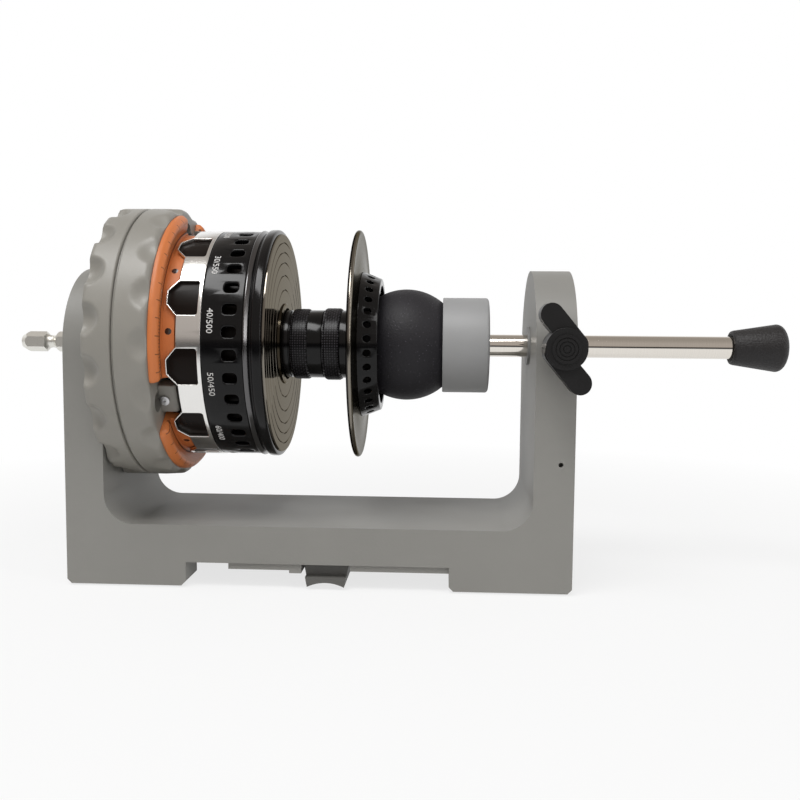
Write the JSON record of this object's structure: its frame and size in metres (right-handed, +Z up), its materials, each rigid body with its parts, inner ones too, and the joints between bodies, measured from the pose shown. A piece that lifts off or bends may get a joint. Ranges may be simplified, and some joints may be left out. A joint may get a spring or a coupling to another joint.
{
  "type": "fishing line winder",
  "caption": "Drill driven winder: a moulded cradle with a scroll chuck that grips a reel spool, and a soft ball on a clamped sliding rod that centres its far end.",
  "frame": {"origin": "on the surface the feet stand on, below the middle of the whole winder", "axes": "+X along the spindle from the drive shank to the cap on the rod, +Z up, -Y the front with the clamp knob"},
  "size_m": [0.2743, 0.0954, 0.1302],
  "materials": {
    "cradle_plastic": "moulded matt grey plastic",
    "chuck_plastic": "moulded satin grey plastic",
    "saddle_plastic": "moulded matt grey plastic",
    "guide_plastic": "moulded matt grey plastic",
    "housing_plastic": "moulded matt grey plastic",
    "jaw_plastic": "moulded satin orange plastic",
    "foot_rubber": "matt rubber",
    "ball_rubber": "closed cell foam rubber",
    "cap_rubber": "grained rubber",
    "knob_plastic": "fine textured black plastic",
    "drum_plastic": "gloss",
    "nylon": "grey nylon",
    "bronze": "sintered bronze",
    "brass": "turned brass",
    "bearing_steel": "ground steel",
    "shank_steel": "ground steel",
    "dark_steel": "blackened steel",
    "hub_metal": "turned aluminium",
    "slide_metal": "machined aluminium",
    "skirt_chrome": "polished",
    "rod_chrome": "polished",
    "face_metal": "polished grey anodised",
    "flange_metal": "polished black anodised",
    "band_anodised": "gloss black anodised"
  },
  "bodies": {
    "cradle": {"cradle_frame": "cradle_plastic", "foot_pads": "foot_rubber", "spindle_bush": "bronze", "spindle_bearing_outer": "bearing_steel", "spindle_bearing_balls": "bearing_steel", "rod_bush": "nylon", "knob_insert": "brass", "saddle_shoe": "saddle_plastic", "saddle_screw": "bearing_steel", "saddle_insert": "brass"},
    "spindle": {"drive_shank": "shank_steel", "spindle_bearing_inner": "bearing_steel", "retaining_clip": "dark_steel", "thrust_washer": "nylon", "chuck_hub": "hub_metal", "chuck_body": "chuck_plastic", "hub_screws": "dark_steel", "guide_blocks": "guide_plastic", "guide_screws": "bearing_steel", "spool_skirt": "skirt_chrome", "spool_drum": "drum_plastic", "spool_band": "band_anodised", "spool_rim": "band_anodised", "spool_face": "face_metal", "spool_arbor": "band_anodised", "front_flange": "flange_metal", "flange_cup": "band_anodised"},
    "ring": {"grip_ring": "chuck_plastic", "scroll_plate": "hub_metal", "scroll_screws": "dark_steel"},
    "tail_rod_body": {"tail_rod": "rod_chrome", "tail_bearing_inner": "bearing_steel", "tail_screw": "bearing_steel", "tail_clip": "dark_steel", "rod_cap": "cap_rubber"},
    "tail_cone": {"tail_ball": "ball_rubber", "tail_housing": "housing_plastic", "tail_bearing_outer": "bearing_steel", "tail_bearing_balls": "bearing_steel"},
    "knob": {"clamp_knob": "knob_plastic", "knob_cap": "knob_plastic", "knob_stud": "bearing_steel"},
    "jaw_body_1": {"jaw_1": "jaw_plastic", "jaw_slide_1": "slide_metal", "jaw_pins_1": "dark_steel", "jaw_screws_1": "dark_steel"},
    "jaw_body_2": {"jaw_2": "jaw_plastic", "jaw_slide_2": "slide_metal", "jaw_pins_2": "dark_steel", "jaw_screws_2": "dark_steel"},
    "jaw_body_3": {"jaw_3": "jaw_plastic", "jaw_slide_3": "slide_metal", "jaw_pins_3": "dark_steel", "jaw_screws_3": "dark_steel"}
  },
  "joints": [
    {"name": "spindle_spin", "type": "hinge", "parent": "cradle", "child": "spindle", "pos_m": [-0.09065, 0, 0.0825], "axis": [1, 0, 0], "continuous": true},
    {"name": "ring_turn", "type": "hinge", "parent": "spindle", "child": "ring", "pos_m": [-0.09265, 0, 0.0825], "axis": [1, 0, 0], "range_deg": [0, 150]},
    {"name": "tail_slide", "type": "slide", "parent": "cradle", "child": "tail_rod_body", "axis": [1, 0, 0], "range_m": [0, 0.012]},
    {"name": "tail_spin", "type": "hinge", "parent": "tail_rod_body", "child": "tail_cone", "pos_m": [0.02435, 0, 0.0825], "axis": [1, 0, 0], "continuous": true},
    {"name": "knob_turn", "type": "hinge", "parent": "cradle", "child": "knob", "pos_m": [0.05495, -0.03, 0.0825], "axis": [0, -1, 0], "range_deg": [0, 270]},
    {"name": "jaw_1_slide", "type": "slide", "parent": "spindle", "child": "jaw_body_1", "axis": [0, 0.848, -0.5299], "range_m": [0, 0.0025]},
    {"name": "jaw_2_slide", "type": "slide", "parent": "spindle", "child": "jaw_body_2", "axis": [0, 0.0349, 0.9994], "range_m": [0, 0.0025]},
    {"name": "jaw_3_slide", "type": "slide", "parent": "spindle", "child": "jaw_body_3", "axis": [0, -0.8829, -0.4695], "range_m": [0, 0.0025]}
  ],
  "couplings": [
    {"joint": "jaw_1_slide", "follows": "ring_turn", "m_per_rad": 0.00095493},
    {"joint": "jaw_2_slide", "follows": "ring_turn", "m_per_rad": 0.00095493},
    {"joint": "jaw_3_slide", "follows": "ring_turn", "m_per_rad": 0.00095493},
    {"joint": "tail_spin", "follows": "spindle_spin", "ratio": 1}
  ]
}
